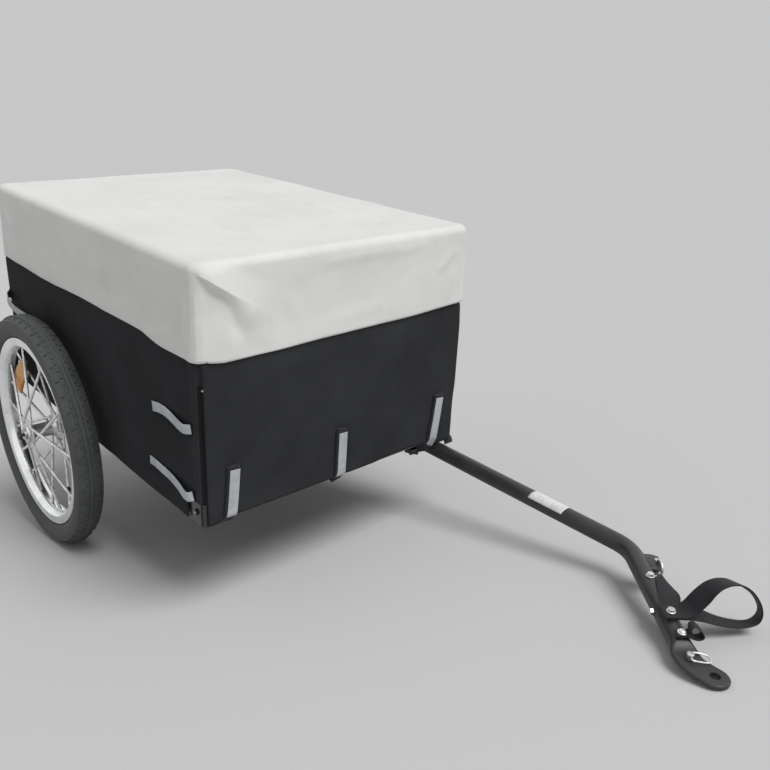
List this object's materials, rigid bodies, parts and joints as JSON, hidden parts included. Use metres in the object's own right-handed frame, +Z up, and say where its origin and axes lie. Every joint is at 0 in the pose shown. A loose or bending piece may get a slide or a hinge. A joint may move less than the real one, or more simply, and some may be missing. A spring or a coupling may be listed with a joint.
{
  "type": "cargo bike trailer",
  "caption": "Two-wheeled cargo trailer: fabric tub on a tube frame with a light lift-off cover, spoked wheels on plug-in axles and a bent, foldable tow arm ending in a flat eye.",
  "frame": {"origin": "on the ground, under the middle of the bounding box, with the trailer standing nose down on both tyres and the tip of the tow arm", "axes": "+X forward, towards the tow arm's eye; +Y to the trailer's left; +Z up"},
  "size_m": [1.2426, 0.6402, 0.6108],
  "materials": {
    "black_steel": "satin black powder coat",
    "black_nylon": "coated woven nylon, matte",
    "canvas": "coated light canvas, matte",
    "reflective_tape": "grey reflective webbing",
    "cast_alloy": "cast, light grey",
    "polished_alloy": "polished",
    "zinc_steel": "bright zinc plated",
    "tyre_rubber": "matte black",
    "tube_rubber": "butyl, matte",
    "amber_plastic": "clear amber lens",
    "black_plastic": "moulded",
    "plywood": "sealed plywood"
  },
  "bodies": {
    "chassis": {"right_side_rail": "black_steel", "left_side_rail": "black_steel", "front_rail": "black_steel", "rear_rail": "black_steel", "cross_member": "black_steel", "axle_beam": "black_steel", "front_right_post": "black_steel", "front_left_post": "black_steel", "rear_right_post": "black_steel", "rear_left_post": "black_steel", "top_frame": "black_steel", "front_right_corner_shoe": "cast_alloy", "front_left_corner_shoe": "cast_alloy", "rear_right_corner_shoe": "cast_alloy", "rear_left_corner_shoe": "cast_alloy", "floor_board": "plywood", "fabric_tub": "black_nylon", "front_right_strap": "reflective_tape", "front_middle_strap": "reflective_tape", "front_left_strap": "reflective_tape", "right_front_upper_strap": "reflective_tape", "right_front_lower_strap": "reflective_tape", "right_rear_upper_strap": "reflective_tape", "left_front_upper_strap": "reflective_tape", "left_front_lower_strap": "reflective_tape", "left_rear_upper_strap": "reflective_tape", "right_stub_axle": "zinc_steel", "left_stub_axle": "zinc_steel", "arm_bracket": "black_steel", "arm_pivot_bolt": "zinc_steel"},
    "right_wheel": {"right_tyre": "tyre_rubber", "right_inner_tube": "tube_rubber", "right_rim": "polished_alloy", "right_spoked_hub": "zinc_steel", "right_outer_bearing": "zinc_steel", "right_inner_bearing": "zinc_steel", "right_wheel_reflector": "amber_plastic"},
    "right_button": {"right_release_button": "black_plastic"},
    "left_wheel": {"left_tyre": "tyre_rubber", "left_inner_tube": "tube_rubber", "left_rim": "polished_alloy", "left_spoked_hub": "zinc_steel", "left_outer_bearing": "zinc_steel", "left_inner_bearing": "zinc_steel", "left_wheel_reflector": "amber_plastic"},
    "left_button": {"left_release_button": "black_plastic"},
    "tow_arm": {"tow_arm_tube": "black_steel", "strap_lug": "black_steel", "strap_ring": "zinc_steel", "safety_strap": "black_nylon", "keeper_loop": "black_nylon", "upper_leg_bolt": "zinc_steel", "cross_bolt": "zinc_steel", "strap_loop_bolt": "zinc_steel", "keeper_bolt": "zinc_steel"},
    "knob": {"clamp_knob": "black_plastic"},
    "pin": {"hitch_pin": "zinc_steel"},
    "ring": {"pull_ring": "zinc_steel"},
    "cover": {"rain_cover_top": "canvas", "rain_cover_skirts": "canvas"}
  },
  "joints": [
    {"name": "right_wheel_spin", "type": "hinge", "parent": "chassis", "child": "right_wheel", "pos_m": [-0.42233, -0.2795, 0.19897], "axis": [0, 1, 0], "continuous": true},
    {"name": "left_wheel_spin", "type": "hinge", "parent": "chassis", "child": "left_wheel", "pos_m": [-0.42233, 0.2795, 0.19897], "axis": [0, 1, 0], "continuous": true},
    {"name": "right_button_press", "type": "slide", "parent": "chassis", "child": "right_button", "axis": [0, 1, 0], "range_m": [0, 0.004], "stiffness_N_per_m": 800, "springref_m": -0.002},
    {"name": "left_button_press", "type": "slide", "parent": "chassis", "child": "left_button", "axis": [0, -1, 0], "range_m": [0, 0.004], "stiffness_N_per_m": 800, "springref_m": -0.002},
    {"name": "tow_arm_fold", "type": "hinge", "parent": "chassis", "child": "tow_arm", "pos_m": [-0.06102, 0.206, 0.13439], "axis": [0.1893, 0, 0.9819], "range_deg": [-90, 0]},
    {"name": "clamp_knob_turn", "type": "hinge", "parent": "tow_arm", "child": "knob", "pos_m": [-0.01978, 0.206, 0.12644], "axis": [0.1893, 0, 0.9819], "continuous": true},
    {"name": "hitch_pin_pull", "type": "slide", "parent": "tow_arm", "child": "pin", "axis": [0.1893, 0, 0.9819], "range_m": [0, 0.04]},
    {"name": "pull_ring_flip", "type": "hinge", "parent": "pin", "child": "ring", "pos_m": [0.57457, 0.05899, 0.01977], "axis": [0.7422, -0.6547, -0.1431], "range_deg": [0, 150]},
    {"name": "cover_lift", "type": "slide", "parent": "chassis", "child": "cover", "axis": [0.1893, 0, 0.9819], "range_m": [0, 0.4]}
  ]
}
